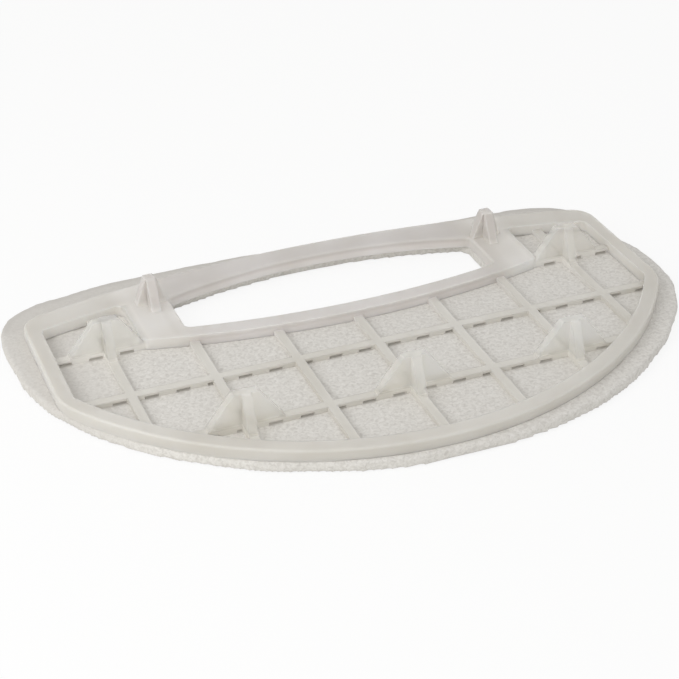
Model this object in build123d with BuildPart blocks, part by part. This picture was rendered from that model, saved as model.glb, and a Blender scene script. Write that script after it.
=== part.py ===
# Filter of a robot vacuum: a D-shaped moulded rib frame on a sheet of needle felt, with a finger slot.
import os

from build123d import *

# The rib grid sets the whole plan. The row beside the slot bar is the zero of the plan in y.
rib_pitch = 18.0
rib_width = 2.0
rib_height = 1.2
column_count = 7
row_count = 3
foot_pitch = 6.667
foot_gap = 3.0
foot_gap_height = 0.6

# Rim and back band of the frame
frame_height = 2.6
front_radius = 80.0
front_reach = 56.5
rim_width = 3.3
side_reach = 68.6
back_radius = 270.0
back_reach = 25.0
back_band = 6.2
back_corner = 5.5
side_corner = 14.0
window_corner = 1.6
edge_round = 0.5

# Slot for the fingers, with the bar in front of it and the solid roots at its ends
slot_half_length = 36.5
slot_front_reach = 2.9
slot_front_radius = 195.0
slot_back_reach = 19.3
slot_back_radius = 118.0
slot_corner = 1.5
bar_width = 4.0
bar_front_radius = 190.0
root_half_span = 46.5

# Standoff posts: four thin fins drawn in to a blunt tip, all ending at one level above the felt
post_height = 8.8
side_tip = 2.6
side_foot = 8.3
front_tip = 1.4
front_foot = 5.0
root_post_x = 40.4
root_post_y = 13.4
root_tip = 1.3
root_foot = 3.4
tip_round = 0.6

# Felt sheet, cut by hand a little larger than the frame
felt_thickness = 2.3
felt_slot_gap = 0.4
felt_slot_back_gap = 1.7
felt_edge = [
    (-52.3, 28.2), (-59.8, 26.8), (-66.3, 25), (-70.7, 21.5), (-73.1, 15), (-73.1, 4), (-71.7, -8),
    (-68.5, -16.5), (-62.3, -26.5), (-55.3, -34.4), (-47, -41.2), (-38.9, -46.6), (-30.1, -50.8),
    (-21.3, -54.2), (-12.1, -56.8), (-2.2, -57.8), (8.3, -57.8), (19.2, -56.6), (31.1, -53.8),
    (43.9, -48.2), (57.7, -38.2), (64.7, -31), (69.7, -23.5), (72.7, -15), (73.3, -7), (72.3, 0),
    (70.5, 7), (69.9, 14), (67.7, 20.6), (62.7, 24.6), (52.7, 26.8), (30.7, 27.4), (0.7, 28.6),
    (-23.3, 30), (-39.3, 29.6),
]

# Derived sizes
front_centre = front_radius - front_reach
bar_front_reach = slot_front_reach + bar_width
post_spots = [(-3, 0), (-2, -2), (0, -2), (2, -2), (3, 0)]
foot_gap_count = 2 * int(side_reach / foot_pitch)
big = 4 * side_reach

# Plan of the felt, which gives the middle of the whole part
with BuildSketch() as felt_plan:
    with BuildLine():
        Spline(*felt_edge, periodic=True)
    make_face()
    with BuildSketch(mode=Mode.PRIVATE) as felt_slot:
        with Locations((0, slot_front_radius - slot_front_reach)):
            Circle(slot_front_radius + felt_slot_gap)
        Rectangle(2 * (slot_half_length + felt_slot_gap), big, mode=Mode.INTERSECT)
        with Locations((0, slot_back_reach - slot_back_radius)):
            Circle(slot_back_radius + felt_slot_back_gap, mode=Mode.INTERSECT)
        chamfer(felt_slot.vertices(), slot_corner)
    add(felt_slot.sketch, mode=Mode.SUBTRACT)
middle = felt_plan.sketch.bounding_box().center()
plan_x = -middle.X
plan_y = -middle.Y
plan = Plane((plan_x, plan_y, felt_thickness))

# Felt sheet
with BuildPart() as filter_cloth:
    with BuildSketch(Plane((plan_x, plan_y, 0))):
        add(felt_plan.sketch)
    extrude(amount=felt_thickness)

# Moulded frame
with BuildPart() as moulded_frame:
    # Solid plate with the outline of the rim
    with BuildSketch(plan) as rim_outline:
        with Locations((0, front_centre)):
            Circle(front_radius)
        Rectangle(2 * side_reach, big, mode=Mode.INTERSECT)
        with Locations((0, back_reach - back_radius)):
            Circle(back_radius, mode=Mode.INTERSECT)
        fillet(rim_outline.vertices().group_by(Axis.Y)[-1], back_corner)
        fillet(rim_outline.vertices().group_by(Axis.Y)[0], side_corner)
    extrude(amount=frame_height)

    # Finger slot between the bar and the handle
    with BuildSketch(plan) as slot:
        with Locations((0, slot_front_radius - slot_front_reach)):
            Circle(slot_front_radius)
        Rectangle(2 * slot_half_length, big, mode=Mode.INTERSECT)
        with Locations((0, slot_back_reach - slot_back_radius)):
            Circle(slot_back_radius, mode=Mode.INTERSECT)
        fillet(slot.vertices(), slot_corner)
    extrude(amount=frame_height, mode=Mode.SUBTRACT)

    # Soft top edges where fingers hold the moulding
    fillet(moulded_frame.faces().sort_by(Axis.Z)[-1].edges(), edge_round)

    # Window of the rib grid, round the bar and the roots
    with BuildSketch(plan) as window:
        with Locations((0, front_centre)):
            Circle(front_radius - rim_width)
        Rectangle(2 * (side_reach - rim_width), big, mode=Mode.INTERSECT)
        with Locations((0, back_reach - back_radius)):
            Circle(back_radius - back_band, mode=Mode.INTERSECT)
        with BuildSketch(mode=Mode.PRIVATE) as block:
            with Locations((0, bar_front_radius - bar_front_reach)):
                Circle(bar_front_radius)
            Rectangle(2 * root_half_span, big, mode=Mode.INTERSECT)
        add(block.sketch, mode=Mode.SUBTRACT)
        fillet(window.vertices(), window_corner)
    extrude(amount=frame_height, mode=Mode.SUBTRACT)

    # Ribs of the grid, let into the rim and the bar
    with BuildSketch(plan) as ribs:
        with GridLocations(rib_pitch, 0, column_count, 1):
            Rectangle(rib_width, big)
        with Locations(*[(0, -rib_pitch * row) for row in range(row_count)]):
            Rectangle(big, rib_width)
        with BuildSketch(mode=Mode.PRIVATE) as grid_area:
            with Locations((0, front_centre)):
                Circle(front_radius - rim_width / 2)
            Rectangle(2 * side_reach - rim_width, big, mode=Mode.INTERSECT)
            with Locations((0, back_reach - back_radius)):
                Circle(back_radius - back_band / 2, mode=Mode.INTERSECT)
        add(grid_area.sketch, mode=Mode.INTERSECT)
        with BuildSketch(mode=Mode.PRIVATE) as slot_area:
            with Locations((0, slot_front_radius - slot_front_reach - bar_width / 2)):
                Circle(slot_front_radius)
            Rectangle(2 * slot_half_length + bar_width, big, mode=Mode.INTERSECT)
        add(slot_area.sketch, mode=Mode.SUBTRACT)
    extrude(amount=rib_height)

    # Standoff posts on the rib crossings and on the roots
    fins = []
    for column, row in post_spots:
        fins.append((column * rib_pitch, row * rib_pitch, rib_height, side_tip, side_foot))
    for side in (-1, 1):
        fins.append((side * root_post_x, root_post_y, frame_height, root_tip, root_foot))
    for x, y, base, tip, foot in fins:
        spot = (plan_x + x, plan_y + y, felt_thickness)
        for x_dir, z_dir, near, far in (
            ((1, 0, 0), (0, -1, 0), tip, foot),
            ((0, 1, 0), (1, 0, 0), front_tip, front_foot),
        ):
            with BuildSketch(Plane(spot, x_dir=x_dir, z_dir=z_dir)) as fin:
                with BuildLine():
                    Polyline((-far, base), (-far, 0), (far, 0), (far, base),
                             (near, post_height), (-near, post_height), close=True)
                make_face()
                fillet(fin.vertices().group_by(Axis.Z)[-1], tip_round)
            extrude(amount=rib_width / 2, both=True)

    # Gaps under the rows, between the even feet that hold them on the felt
    with BuildSketch(plan) as foot_gaps:
        with Locations((0, -rib_pitch * (row_count - 1) / 2)):
            with GridLocations(foot_pitch, rib_pitch, foot_gap_count, row_count):
                Rectangle(foot_gap, rib_width)
        with GridLocations(rib_pitch, 0, column_count, 1):
            Rectangle(rib_width, big, mode=Mode.SUBTRACT)
        add(window.sketch_local, mode=Mode.INTERSECT)
    extrude(amount=foot_gap_height, mode=Mode.SUBTRACT)

filter_cloth.part.label = "filter_cloth"
moulded_frame.part.label = "moulded_frame"

os.makedirs("parts", exist_ok=True)
export_step(filter_cloth.part, "parts/filter_cloth.step")
export_step(moulded_frame.part, "parts/moulded_frame.step")
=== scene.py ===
import bmesh
import bpy
import math
from mathutils import Matrix, Vector, noise
from mathutils.kdtree import KDTree


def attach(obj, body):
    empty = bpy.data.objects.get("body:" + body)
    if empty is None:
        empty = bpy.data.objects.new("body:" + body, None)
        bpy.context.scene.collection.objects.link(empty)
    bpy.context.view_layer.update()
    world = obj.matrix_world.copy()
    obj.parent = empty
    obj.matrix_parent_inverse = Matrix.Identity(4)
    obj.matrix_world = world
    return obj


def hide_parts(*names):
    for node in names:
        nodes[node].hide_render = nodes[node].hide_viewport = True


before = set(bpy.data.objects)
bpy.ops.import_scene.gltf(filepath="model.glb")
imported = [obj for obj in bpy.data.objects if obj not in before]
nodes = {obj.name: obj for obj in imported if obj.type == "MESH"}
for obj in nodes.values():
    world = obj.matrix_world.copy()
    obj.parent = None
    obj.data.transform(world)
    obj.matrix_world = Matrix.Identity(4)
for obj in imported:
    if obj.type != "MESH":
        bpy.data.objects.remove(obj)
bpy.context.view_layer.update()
scene = bpy.context.scene
mm = 0.001
print("frame loaded:", sorted(nodes))


def linear(hexColour):  # sRGB hex to the linear colour that shaders want
    channels = []
    for place in (1, 3, 5):
        value = int(hexColour[place:place + 2], 16) / 255
        channels.append(value / 12.92 if value <= 0.04045 else ((value + 0.055) / 1.055) ** 2.4)
    return (*channels, 1.0)


def perMetre(sizeMm):  # texture scale for a pattern of this size
    return 1000 / sizeMm


def addNode(tree, kind, inputs=(), **settings):  # inputs by name or in order: values, nodes or outputs
    node = tree.nodes.new(kind)
    for name, value in settings.items():
        setattr(node, name, value)
    if isinstance(inputs, dict):
        fed = [(node.inputs[name], value) for name, value in inputs.items()]
    else:
        fed = zip([socket for socket in node.inputs if socket.enabled], inputs)
    for socket, value in fed:
        if isinstance(value, bpy.types.Node):
            value = next(output for output in value.outputs if output.enabled)
        if isinstance(value, bpy.types.NodeSocket):
            tree.links.new(value, socket)
        else:
            socket.default_value = value
    return node


def newMaterial(name):
    material = bpy.data.materials.new(name)
    material.use_nodes = True
    material.node_tree.nodes.clear()
    return material


# camera where the photograph was taken from, level, long lens, its place in millimetres
cameraSpot = {
    "place": (-121.6, -281.2, 193.6),
    "looks": (0.3194, 0.7846, -0.5314),
    "right": (0.9262, -0.3770, 0.0),
    "lens": 89.78,
}
camera = bpy.data.objects.new("camera", bpy.data.cameras.new("camera"))
scene.collection.objects.link(camera)
ahead = Vector(cameraSpot["looks"]).normalized()
right = Vector(cameraSpot["right"]).normalized()
turn = Matrix((right, right.cross(ahead), -ahead)).transposed()
camera.matrix_world = Matrix.Translation(Vector(cameraSpot["place"]) * mm) @ turn.to_4x4()
camera.data.lens = cameraSpot["lens"]
camera.data.sensor_width = 36
camera.data.clip_start = 0.01
camera.data.clip_end = 20
scene.camera = camera
print("camera set")

# places of the frame in plan, in millimetres from where the middle column crosses the row beside the bar
grid = {
    "zero": (0.036, 13.958),  # that crossing, from the middle of the whole part
    "pitch": 18.0,
    "rows": (0.0, -18.0, -36.0),
    "ribWidth": 2.0,
    "footPitch": 6.667,
    "footGap": 3.0,
    "rimCentre": 23.5,
    "rimRadius": 80.0,
    "rimWidth": 3.3,
    "bandCentre": -245.0,
    "bandRadius": 270.0,
    "bandInner": 263.8,
    "rootEnd": 46.5,
    "side": 65.5,
}

# natural polypropylene, injection moulded: milky, lets light through, satin skin, with painted light and
# shade by place and a painted highlight on its edges
plastic = {
    "body": "#e6e3dd",
    # painted light and shade: the body made paler on the root ends, the bar's foot, the posts of the grid,
    # the ribs and the inner walls, and darker on the bar, the handle and the root posts
    "paintedLightAndShade": {  # laid over the body and each other in this order, matched to the photograph
        "root": "#f4f1ed",  # solid ends of the slot
        "slim": "#e1ddda",  # handle and bar
        "slimFoot": "#f2eeec",
        "gridPost": "#fdfbf7",
        "rib": "#eae7e0",
        "innerWall": "#fbf9f6",
        "outerWall": "#e6e3dd",
        "rootPost": "#e1ddda",
    },
    "limits": {  # where each place begins and where it is reached in full, in millimetres
        "behindBar": (6.2, 6.8),
        "slotEnd": (34.0, 40.0),
        "pastRoot": (45.0, 49.0),
        "insideSide": (65.2, 64.5),
        "insideRim": (76.6, 75.6),
        "insideBand": (263.7, 262.9),
        "outside": (78.8, 79.3),
        "toBack": (-5.0, 8.0),
        "under": (4.2, 3.5),
        "tall": (4.9, 6.0),
        "softEdge": (2.7, 2.9),
    },
    "barBow": 380.0,  # twice the radius of the bar's front
    "upright": (0.7, 0.2),  # rise of a face's normal: no wall at the first, all wall at the second, for the painted light on walls
    "wallShare": 0.8,
    "cloud": ((0.35, "#f6f5f3"), (0.65, "#ffffff")),
    "cloudMm": 14,
    # painted highlight along the edges of the moulding
    "edgeHighlight": "#ffffff",
    "edgeMm": 0.35,
    "edgeTurn": (0.99, 0.8),  # rounded normal along the flat one: no edge at the first, all at the second
    "edgeSide": (0.05, 0.35),  # rightward share of the normal: edges that face right get the painted highlight
    "edgeElsewhere": 0.1,
    "edgeShare": (0.12, 0.9),  # strength of the painted highlight on the frame and on the ribs
    "grainMm": 0.5,  # real grain is finer, drawn this coarse so that it shows
    "grainDepthMm": 0.04,
    "milk": (1.0, 0.1),  # scatter in the frame and in the low ribs
    "depthMm": 1.5,  # how far light wanders inside
    "clear": (0.3, 0.74),  # share seen straight through, in the frame and in the posts of the grid
    "shade": (0.45, 0.95),  # share of light that passes on to what lies behind, by frame and by any post
    "through": "#fbfbfa",
    "roughness": 0.46,
}


def planDistance(tree, spot, centreMm):  # way in plan from a centre on the middle line
    centre = (0, (centreMm + grid["zero"][1]) * mm, 0)
    shifted = addNode(tree, "ShaderNodeVectorMath", [spot, centre], operation="SUBTRACT")
    level = addNode(tree, "ShaderNodeVectorMath", [shifted, (1, 1, 0)], operation="MULTIPLY")
    return addNode(tree, "ShaderNodeVectorMath", [level], operation="LENGTH")


def framePlaces(tree, spot, face):  # how far a point belongs to each place of the moulding, from 0 to 1
    x, y, z = addNode(tree, "ShaderNodeSeparateXYZ", [spot]).outputs
    aside = addNode(tree, "ShaderNodeMath", [x], operation="ABSOLUTE")
    square = addNode(tree, "ShaderNodeMath", [x, x], operation="MULTIPLY")
    bow = -1 / (plastic["barBow"] * mm)
    fromBar = addNode(tree, "ShaderNodeMath", [square, bow, y], operation="MULTIPLY_ADD")
    fromFront = planDistance(tree, spot, grid["rimCentre"])
    fromBack = planDistance(tree, spot, grid["bandCentre"])
    measures = {
        "behindBar": fromBar,
        "slotEnd": aside,
        "pastRoot": aside,
        "insideSide": aside,
        "insideRim": fromFront,
        "insideBand": fromBack,
        "outside": fromFront,
        "toBack": y,
        "under": z,
        "tall": z,
        "softEdge": z,
    }
    places = {}
    for name, measure in measures.items():
        start, full = plastic["limits"][name]
        places[name] = addNode(tree, "ShaderNodeMapRange", [measure, start * mm, full * mm])
    rise = addNode(tree, "ShaderNodeSeparateXYZ", [face]).outputs["Z"]
    lean = addNode(tree, "ShaderNodeMath", [rise], operation="ABSOLUTE")
    wallRange = [lean, *plastic["upright"], 0.0, plastic["wallShare"]]
    places["upright"] = addNode(tree, "ShaderNodeMapRange", wallRange)
    steps = (
        ("besideSlot", "SUBTRACT", 1.0, "slotEnd"),
        ("slim", "MULTIPLY", "behindBar", "besideSlot"),
        ("rest", "SUBTRACT", 1.0, "slim"),
        ("block", "SUBTRACT", "slotEnd", "pastRoot"),
        ("root", "MULTIPLY", "behindBar", "block"),
        ("slimFoot", "MULTIPLY", "under", "slim"),
        ("above", "SUBTRACT", 1.0, "under"),
        ("window", "MULTIPLY", "rest", "insideRim"),  # the opening that the rib grid fills
        ("window", "MULTIPLY", "window", "insideBand"),
        ("window", "MULTIPLY", "window", "insideSide"),
        ("window", "SUBTRACT", "window", "root"),
        ("rib", "MULTIPLY", "under", "window"),
        ("gridPost", "MULTIPLY", "above", "window"),
        ("anyPost", "MAXIMUM", "gridPost", "tall"),
        ("rootPost", "SUBTRACT", "tall", "gridPost"),
        ("innerWall", "MULTIPLY", "upright", "toBack"),
        ("innerWall", "MULTIPLY", "innerWall", "rest"),
        ("outerWall", "MULTIPLY", "upright", "outside"),
    )
    for name, operation, first, second in steps:
        pair = [places.get(first, first), places.get(second, second)]
        places[name] = addNode(tree, "ShaderNodeMath", pair, operation=operation, use_clamp=True)
    return places


def mouldedPolypropylene():
    material = newMaterial("natural polypropylene, moulded")
    tree = material.node_tree
    spot = addNode(tree, "ShaderNodeTexCoord").outputs["Object"]
    face = addNode(tree, "ShaderNodeNewGeometry").outputs["Normal"]
    places = framePlaces(tree, spot, face)
    colour = linear(plastic["body"])
    # painted light and shade, laid on by place
    for name, tint in plastic["paintedLightAndShade"].items():
        colour = addNode(tree, "ShaderNodeMix", [places[name], colour, linear(tint)], data_type="RGBA")

    cloud = addNode(tree, "ShaderNodeTexNoise", {
        "Vector": spot,
        "Scale": perMetre(plastic["cloudMm"]),
        "Detail": 3.0,
    })
    bands = addNode(tree, "ShaderNodeValToRGB", [cloud])
    for stop, (place, tint) in zip(bands.color_ramp.elements, plastic["cloud"]):
        stop.position = place
        stop.color = linear(tint)
    colour = addNode(tree, "ShaderNodeMix", [1.0, colour, bands], data_type="RGBA", blend_type="MULTIPLY")

    # painted highlight along the edges, where they are turned to the right
    rounded = addNode(tree, "ShaderNodeBevel", {"Radius": plastic["edgeMm"] * mm}, samples=8)
    flatness = addNode(tree, "ShaderNodeVectorMath", [rounded, face], operation="DOT_PRODUCT")
    turned = addNode(tree, "ShaderNodeMapRange", [flatness, *plastic["edgeTurn"]])
    toRight = addNode(tree, "ShaderNodeSeparateXYZ", [rounded]).outputs["X"]
    sided = addNode(tree, "ShaderNodeMapRange", [toRight, *plastic["edgeSide"], plastic["edgeElsewhere"]])
    share = addNode(tree, "ShaderNodeMapRange", [places["rib"], 0.0, 1.0, *plastic["edgeShare"]])
    edgeHighlight = addNode(tree, "ShaderNodeMath", [turned, sided], operation="MULTIPLY")
    edgeHighlight = addNode(tree, "ShaderNodeMath", [edgeHighlight, share], operation="MULTIPLY")
    colour = addNode(tree, "ShaderNodeMix", [edgeHighlight, colour, linear(plastic["edgeHighlight"])], data_type="RGBA")

    grain = addNode(tree, "ShaderNodeTexNoise", {
        "Vector": spot,
        "Scale": perMetre(plastic["grainMm"]),
        "Detail": 2.0,
    })
    soft = addNode(tree, "ShaderNodeMix", [places["softEdge"], face, rounded], data_type="VECTOR")
    bump = addNode(tree, "ShaderNodeBump", {
        "Strength": 0.1,
        "Distance": plastic["grainDepthMm"] * mm,
        "Height": grain,
        "Normal": soft,
    })
    milk = addNode(tree, "ShaderNodeMapRange", [places["rib"], 0.0, 1.0, *plastic["milk"]])
    skin = addNode(tree, "ShaderNodeBsdfPrincipled", {
        "Base Color": colour,
        "Roughness": plastic["roughness"],
        "IOR": 1.49,
        "Normal": bump,
        "Subsurface Weight": milk,
        "Subsurface Radius": (1.0, 1.0, 0.96),
        "Subsurface Scale": plastic["depthMm"] * mm,
    })

    # part of the light goes straight through, more of it for shadows
    through = addNode(tree, "ShaderNodeBsdfTransparent", {"Color": linear(plastic["through"])})
    shadowRay = addNode(tree, "ShaderNodeLightPath").outputs["Is Shadow Ray"]
    clear = addNode(tree, "ShaderNodeMapRange", [places["gridPost"], 0.0, 1.0, *plastic["clear"]])
    shade = addNode(tree, "ShaderNodeMapRange", [places["anyPost"], 0.0, 1.0, *plastic["shade"]])
    passed = addNode(tree, "ShaderNodeMapRange", [shadowRay, 0.0, 1.0, clear, shade])
    milky = addNode(tree, "ShaderNodeMixShader", [passed, skin, through])
    addNode(tree, "ShaderNodeOutputMaterial", {"Surface": milky})
    return material


moulding = nodes["moulded_frame"]
moulding.data.materials.clear()
moulding.data.materials.append(mouldedPolypropylene())
print("moulding finished")

# needle-punched polyester felt, cut by hand: fine lumpy mat, uneven edge, painted shade along the gaps of
# the frame, over the left end and behind the back band
# lengths in millimetres, shares from 0 to 1
felt = {
    "topMm": 2.28,  # a hair below the feet of the frame
    "topFacing": 0.3,  # rise of a face's normal that counts as the top
    "weldMm": 0.001,
    "voxelMm": 0.5,
    "tuftMm": 1.3,
    "tuftDepth": 0.09,
    "tuftSeed": 40,
    "looseFrom": 0.4,  # no tufts this near to a foot, and full ones a little further off
    "looseOver": 1.2,
    "lumpMm": 7.0,
    "lumpDepth": 0.12,
    "lumpSeed": 9,
    "lumpOutside": 0.5,
    "nickMm": 8.0,
    "nickDepth": 0.45,
    "frayMm": 2.2,
    "frayDepth": 0.14,
    "bands": ((0.3, "#ccc8c2"), (0.5, "#dad7d1"), (0.7, "#e4e1dc")),
    "punchMm": 0.75,
    "fibreMm": 0.4,  # real fibres are finer, drawn this coarse so that they show
    # colour of the painted shade in the gaps, over the left end and behind the back band
    "paintedShade": "#c8c4be",
    "gapDepth": 0.15,  # dips under the gaps
    "gapAbove": 1.5,
    "gapBlur": 0.4,
    "gapEndBlur": 0.5,
    "rowSpare": 0.1,
    "rowStop": 1.0,
    "rimReach": 0.3,  # fainter dashes at the foot of the rim, in front only
    "rimShare": 0.35,
    "rimBefore": -20,
    "bandReach": 0.4,  # and at the inner foot of the back band
    "fadeMm": 9,  # dashes are not all equally dark
    "fadeSeed": 3,
    "fadeMean": 0.8,
    "fadeSwing": 0.5,
    "fadeLeast": 0.35,
    "leftFrom": 52,  # left end, in painted shade over this length
    "leftOver": 14,
    "leftShare": 0.5,
    "stripBlur": 1.0,  # strip behind the back band in painted shade, darkest along its cut edge
    "stripShare": 0.7,
    "lineShare": 0.3,
    "lineMm": 1.5,
    "lineBlur": 0.8,
    "lineBehind": 12,
    "lineEnd": 72,
    "backFacing": 0.4,  # normal of the cut edge along the back, and how far behind the middle it lies
    "backRise": 0.6,
    "backFrom": 30,
}


def zeroToOne(value):
    return min(1.0, max(0.0, value))


def nearShare(distance, reach, blur):  # 1 well inside the reach, 0 well outside
    return zeroToOne((reach - distance) / blur + 0.5)


def pastArc(x, y, centre, radius):  # how far a spot lies outside an arc about the middle line
    return math.hypot(x, y - centre) - radius


def fromRows(y):
    return min(abs(y - line) for line in grid["rows"])


def fromFeet(x, y):  # way to the nearest foot of the frame
    halfRib = grid["ribWidth"] / 2
    halfRim = grid["rimWidth"] / 2
    column = abs((x / grid["pitch"] + 0.5) % 1 - 0.5) * grid["pitch"]
    rim = abs(pastArc(x, y, grid["rimCentre"], grid["rimRadius"]) + halfRim) - halfRim
    return max(0.0, min(column - halfRib, fromRows(y) - halfRib, rim))


def gapShare(x, y):  # how far a spot lies in one of the even gaps under the frame
    along = abs((x / grid["footPitch"]) % 1 - 0.5) * grid["footPitch"]
    fade = noise.noise(Vector((x / felt["fadeMm"], y / felt["fadeMm"], felt["fadeSeed"])))
    uneven = min(1.0, max(felt["fadeLeast"], felt["fadeMean"] + felt["fadeSwing"] * fade))
    inLine = nearShare(along, grid["footGap"] / 2, felt["gapEndBlur"]) * uneven
    pastRim = pastArc(x, y, grid["rimCentre"], grid["rimRadius"])
    fromBand = abs(pastArc(x, y, grid["bandCentre"], grid["bandInner"]))
    row = rim = band = 0
    if pastRim <= -felt["rowStop"] and abs(x) <= grid["side"]:
        row = nearShare(fromRows(y), grid["ribWidth"] / 2 + felt["rowSpare"], felt["gapBlur"])
    if y < felt["rimBefore"]:
        rim = nearShare(abs(pastRim), felt["rimReach"], felt["gapBlur"])
    if grid["rootEnd"] < abs(x) < grid["side"]:
        band = nearShare(fromBand, felt["bandReach"], felt["gapBlur"])
    return inLine * max(row, felt["rimShare"] * rim, band)


def needledFelt():
    material = newMaterial("polyester felt, needle punched")
    tree = material.node_tree
    spot = addNode(tree, "ShaderNodeTexCoord").outputs["Object"]
    punch = addNode(tree, "ShaderNodeTexNoise", {
        "Vector": spot,
        "Scale": perMetre(felt["punchMm"]),
        "Detail": 3.0,
        "Distortion": 0.8,
    })
    bands = addNode(tree, "ShaderNodeValToRGB", [punch])
    bands.color_ramp.elements.new(0.5)  # one stop more than it starts with
    for stop, (place, tint) in zip(bands.color_ramp.elements, felt["bands"]):
        stop.position = place
        stop.color = linear(tint)
    # painted shade, read from the felt's own attribute
    paintedShade = addNode(tree, "ShaderNodeAttribute", attribute_name="paintedShade").outputs["Fac"]
    colour = addNode(tree, "ShaderNodeMix", [paintedShade, bands, linear(felt["paintedShade"])], data_type="RGBA")
    fibre = addNode(tree, "ShaderNodeTexNoise", {
        "Vector": spot,
        "Scale": perMetre(felt["fibreMm"]),
        "Detail": 3.0,
        "Distortion": 2.0,
    })
    coarse = addNode(tree, "ShaderNodeBump", {
        "Strength": 0.25,
        "Distance": 0.18 * mm,
        "Height": punch,
    })
    fine = addNode(tree, "ShaderNodeBump", {
        "Strength": 0.35,
        "Distance": 0.1 * mm,
        "Height": fibre,
        "Normal": coarse,
    })
    skin = addNode(tree, "ShaderNodeBsdfPrincipled", {
        "Base Color": colour,
        "Roughness": 0.95,
        "IOR": 1.45,
        "Specular IOR Level": 0.2,
        "Sheen Weight": 0.15,
        "Sheen Roughness": 0.6,
        "Normal": fine,
    })
    addNode(tree, "ShaderNodeOutputMaterial", {"Surface": skin})
    return material


def feltBlank():  # the CAD sheet as an even voxel mesh, from the floor to just below the frame
    blank = bmesh.new()
    blank.from_mesh(nodes["filter_cloth"].data)
    bmesh.ops.remove_doubles(blank, verts=blank.verts, dist=felt["weldMm"] * mm)
    mesh = bpy.data.meshes.new("needleFelt")
    blank.to_mesh(mesh)
    blank.free()
    sheet = bpy.data.objects.new("needleFelt", mesh)
    scene.collection.objects.link(sheet)
    remesh = sheet.modifiers.new("mat", "REMESH")
    remesh.mode = "VOXEL"
    remesh.voxel_size = felt["voxelMm"] * mm
    graph = bpy.context.evaluated_depsgraph_get()
    dense = bpy.data.meshes.new_from_object(sheet.evaluated_get(graph))
    sheet.modifiers.clear()
    sheet.data = dense
    top = max(vertex.co.z for vertex in dense.vertices)
    under = min(vertex.co.z for vertex in dense.vertices)
    full = felt["topMm"] * mm
    for vertex in dense.vertices:
        vertex.co.z = (vertex.co.z - under) * full / (top - under)
    return sheet


def backEdge(mesh):  # search tree of the felt's cut edge along the back, in plan
    wall = []
    for vertex in mesh.vertices:
        facesBack = vertex.normal.y > felt["backFacing"] and abs(vertex.normal.z) < felt["backRise"]
        if facesBack and vertex.co.y > felt["backFrom"] * mm:
            wall.append((vertex.co.x, vertex.co.y, 0))
    tree = KDTree(len(wall))
    for index, place in enumerate(wall):
        tree.insert(place, index)
    tree.balance()
    return tree


def cutFelt():
    sheet = feltBlank()
    mesh = sheet.data
    edgeTree = backEdge(mesh)
    moved = []
    paintedShade = []
    for vertex in mesh.vertices:
        spot = vertex.co / mm
        x = spot.x - grid["zero"][0]
        y = spot.y - grid["zero"][1]
        onTop = vertex.normal.z > felt["topFacing"]
        gap = gapShare(x, y) if onTop and spot.z > felt["gapAbove"] else 0
        pastBand = pastArc(x, y, grid["bandCentre"], grid["bandRadius"])
        pastRim = pastArc(x, y, grid["rimCentre"], grid["rimRadius"])

        # uneven cut edge, tufts between the feet, and lumps where the felt shows beyond the frame
        out = Vector((vertex.normal.x, vertex.normal.y, 0))
        nick = noise.noise(Vector((spot.x, spot.y, 0)) / felt["nickMm"]) * felt["nickDepth"]
        fray = noise.noise(spot / felt["frayMm"]) * felt["frayDepth"]
        loose = zeroToOne((fromFeet(x, y) - felt["looseFrom"]) / felt["looseOver"])
        tuft = 0.5 + 0.5 * noise.noise(spot / felt["tuftMm"] + Vector((felt["tuftSeed"], 0, 0)))
        sink = tuft * felt["tuftDepth"] * loose + gap * felt["gapDepth"]
        if max(pastBand, pastRim) > felt["lumpOutside"]:
            lump = noise.noise(Vector((spot.x, spot.y, felt["lumpSeed"])) / felt["lumpMm"])
            sink += max(0.0, lump) * felt["lumpDepth"]
        lift = Vector((0, 0, -sink if onTop else 0))
        moved.append(vertex.co + (out * (nick + fray) + lift) * mm)

        # painted shade in the gaps, over the left end and on the back strip
        line = 0
        if y > felt["lineBehind"] and abs(x) < felt["lineEnd"]:
            fromEdge = edgeTree.find((vertex.co.x, vertex.co.y, 0))[2] / mm
            line = nearShare(fromEdge, felt["lineMm"], felt["lineBlur"])
        strip = nearShare(-pastBand, 0.0, felt["stripBlur"])
        leftEnd = zeroToOne((-x - felt["leftFrom"]) / felt["leftOver"])
        stripShade = felt["stripShare"] * strip + felt["lineShare"] * line * strip
        paintedShade.append(max(gap, felt["leftShare"] * leftEnd, stripShade))
    for vertex, place in zip(mesh.vertices, moved):
        vertex.co = place
    mesh.attributes.new("paintedShade", "FLOAT", "POINT").data.foreach_set("value", paintedShade)
    mesh.shade_smooth()
    mesh.materials.clear()
    mesh.materials.append(needledFelt())
    return sheet


needleFelt = cutFelt()
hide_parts("filter_cloth")
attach(needleFelt, "root")
print("felt cut:", len(needleFelt.data.polygons), "faces")

# plain pale floor, white to the eye, with the part's own soft shadow
# the light is soft, from the upper left as in the photograph, with places and sizes in metres
stage = {
    "floor": "#f6f6f4",
    "size": 4.0,
    "dropMm": 0.3,
    "wash": 0.85,
    "sky": 0.67,
    "white": 1.0,
}
lamps = {
    "key": {"place": (-0.34, -0.12, 0.27), "size": 0.24, "power": 0.75},
    "front": {"place": (0.0, -0.9, 0.36), "size": 0.8, "power": 0.65},
}
white = linear("#ffffff")


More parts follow.
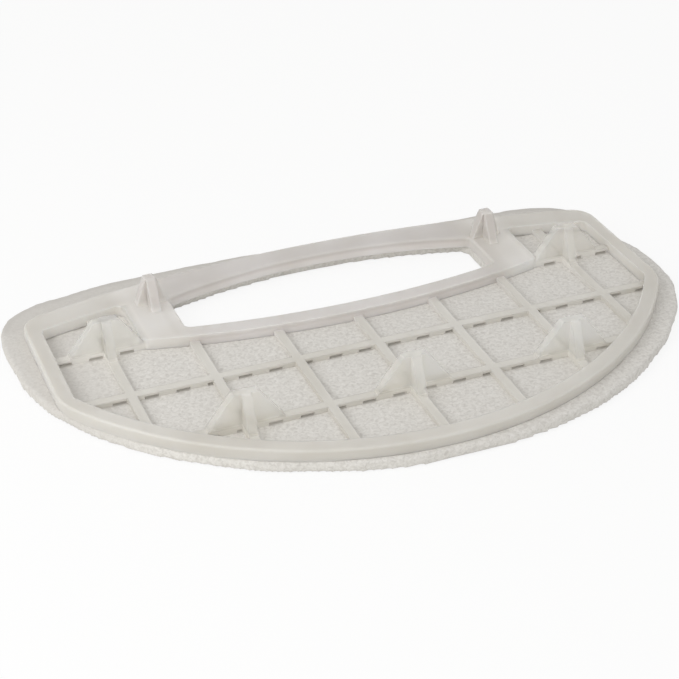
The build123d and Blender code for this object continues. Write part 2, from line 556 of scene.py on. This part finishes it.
def paleFloor():
    material = newMaterial("white paper, plain")
    tree = material.node_tree
    paper = addNode(tree, "ShaderNodeBsdfDiffuse", {"Color": linear(stage["floor"])})
    glow = addNode(tree, "ShaderNodeEmission", {"Color": white, "Strength": stage["white"]})
    rays = addNode(tree, "ShaderNodeLightPath").outputs
    seen = rays["Is Camera Ray"]
    for kind in ("Is Transmission Ray", "Is Glossy Ray"):
        seen = addNode(tree, "ShaderNodeMath", [seen, rays[kind]], operation="MAXIMUM")
    wash = addNode(tree, "ShaderNodeMath", [seen, stage["wash"]], operation="MULTIPLY")
    both = addNode(tree, "ShaderNodeMixShader", [wash, paper, glow])
    addNode(tree, "ShaderNodeOutputMaterial", {"Surface": both})
    return material


half = stage["size"] / 2
corners = [(-half, -half, 0), (half, -half, 0), (half, half, 0), (-half, half, 0)]
floorMesh = bpy.data.meshes.new("floor")
floorMesh.from_pydata(corners, [], [(0, 1, 2, 3)])
floorMesh.materials.append(paleFloor())
floor = bpy.data.objects.new("floor", floorMesh)
floor.location.z = -stage["dropMm"] * mm
scene.collection.objects.link(floor)

for name, lamp in lamps.items():
    light = bpy.data.lights.new(name, "AREA")
    light.size = lamp["size"]
    light.energy = lamp["power"]
    holder = bpy.data.objects.new(name, light)
    holder.location = lamp["place"]
    holder.rotation_euler = (-Vector(lamp["place"])).to_track_quat("-Z", "Y").to_euler()
    scene.collection.objects.link(holder)

world = bpy.data.worlds.new("studio")
world.use_nodes = True
air = world.node_tree
air.nodes.clear()
sky = addNode(air, "ShaderNodeBackground", {"Color": white, "Strength": stage["sky"]})
backdrop = addNode(air, "ShaderNodeBackground", {"Color": white, "Strength": stage["white"]})
rays = addNode(air, "ShaderNodeLightPath").outputs
seen = addNode(air, "ShaderNodeMath", [rays["Is Camera Ray"], rays["Is Glossy Ray"]], operation="MAXIMUM")
both = addNode(air, "ShaderNodeMixShader", [seen, sky, backdrop])
addNode(air, "ShaderNodeOutputWorld", {"Surface": both})
scene.world = world
scene.view_settings.view_transform = "Standard"
print("stage lit")
